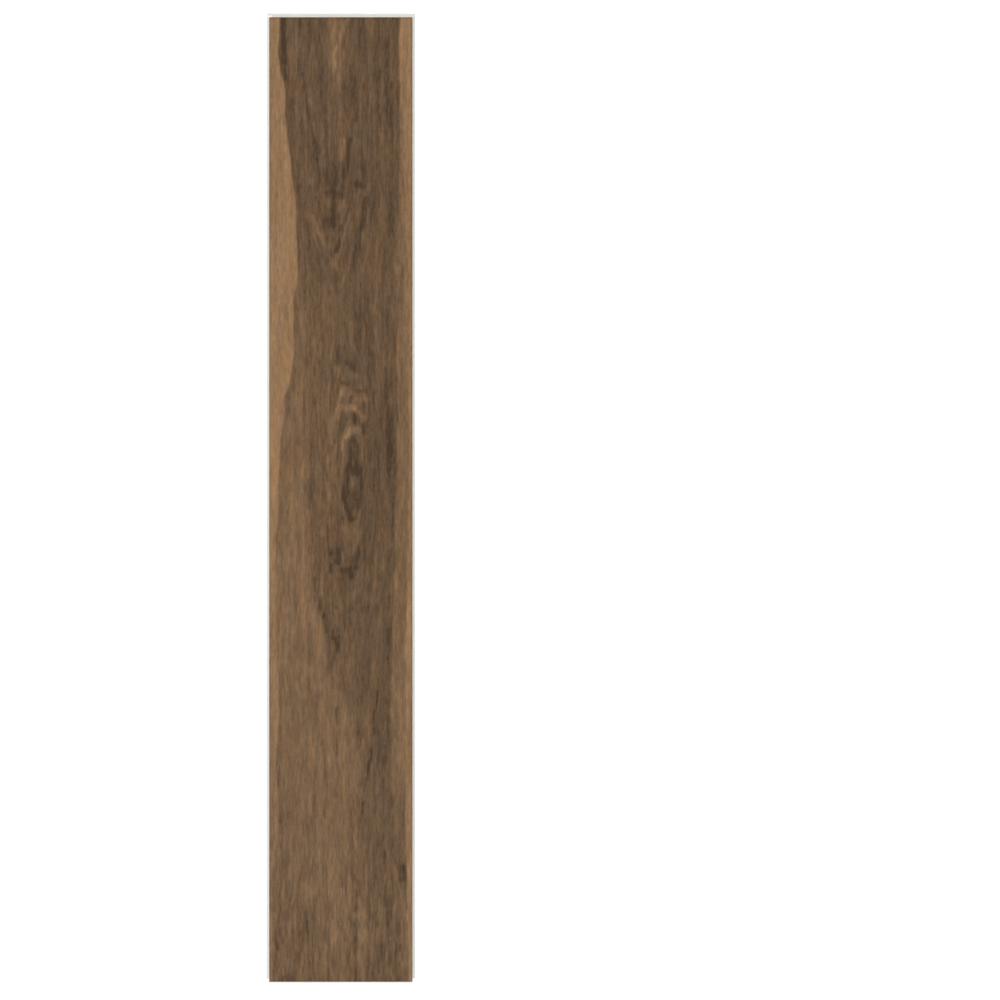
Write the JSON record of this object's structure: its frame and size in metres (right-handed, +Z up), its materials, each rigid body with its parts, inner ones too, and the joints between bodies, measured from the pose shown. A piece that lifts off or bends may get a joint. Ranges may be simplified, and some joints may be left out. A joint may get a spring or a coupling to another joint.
{
  "type": "rigid core vinyl plank",
  "caption": "Flat rigid core vinyl floor plank with a walnut grain face, bevelled edges and a click joint on every side.",
  "frame": {"origin": "on the underside, below the middle of the walking face, so that laid planks repeat at 181 mm in X and 1220 mm in Y", "axes": "+Z up out of the walking face, +Y along the length towards the end with the catch, +X across the width towards the grooved edge"},
  "size_m": [0.1871, 1.2246, 0.005],
  "materials": {
    "plank": "printed walnut grain under a matt wear layer"
  },
  "bodies": {
    "root": {"plank": "plank"}
  },
  "joints": []
}
